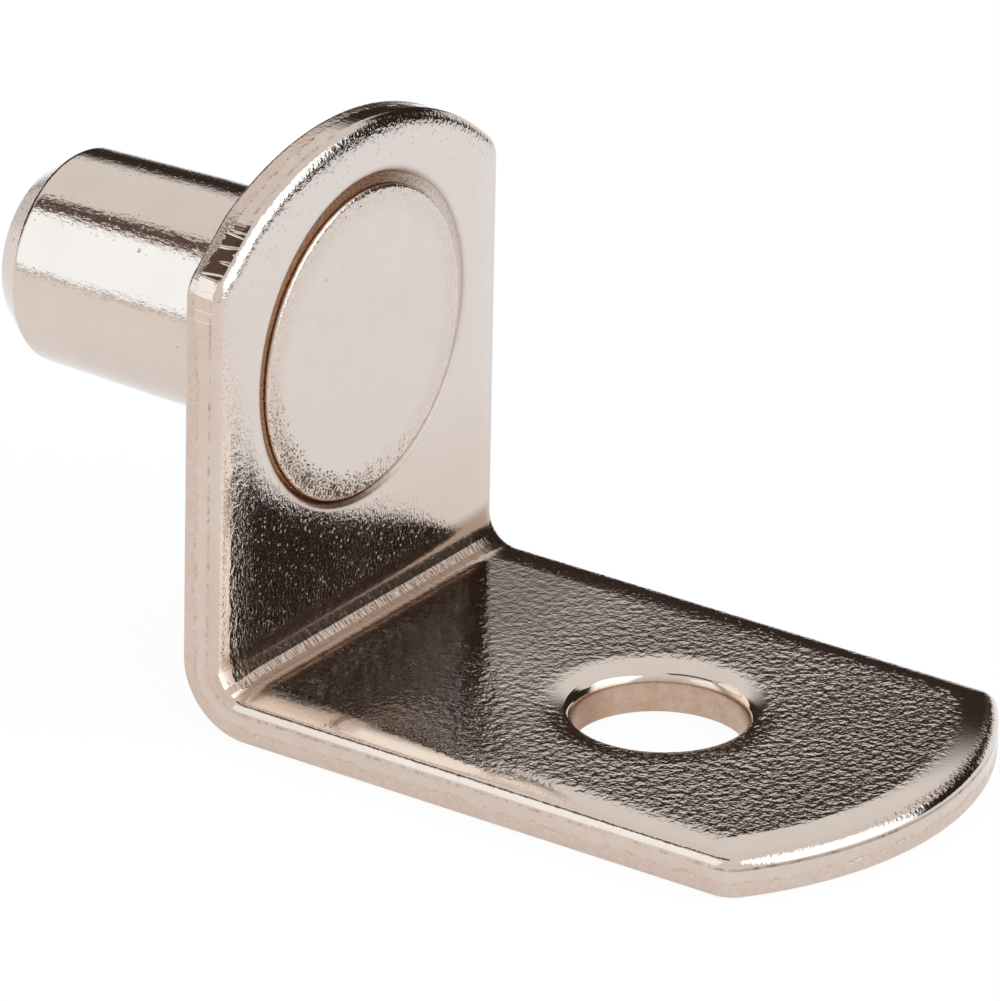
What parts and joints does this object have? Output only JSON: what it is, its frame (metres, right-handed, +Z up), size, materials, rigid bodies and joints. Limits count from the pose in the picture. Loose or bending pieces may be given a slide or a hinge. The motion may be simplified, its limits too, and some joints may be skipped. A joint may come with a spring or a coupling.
{
  "type": "shelf support pin",
  "caption": "Angle shelf support: a bent nickel-plated strip with a screw hole in its leg and a stout pin riveted through its upright.",
  "frame": {"origin": "on the pin's axis, at the back face of the upright", "axes": "+Y along the pin into the cabinet's side, +Z up, +X to the right across the strip; the leg reaches towards -Y"},
  "size_m": [0.0126, 0.0281, 0.015],
  "materials": {
    "bracket_nickel": "bright nickel plate over tumbled sheet steel",
    "pin_nickel": "bright nickel plate over cold-headed steel"
  },
  "bodies": {
    "root": {"bracket": "bracket_nickel", "pin": "pin_nickel"}
  },
  "joints": []
}
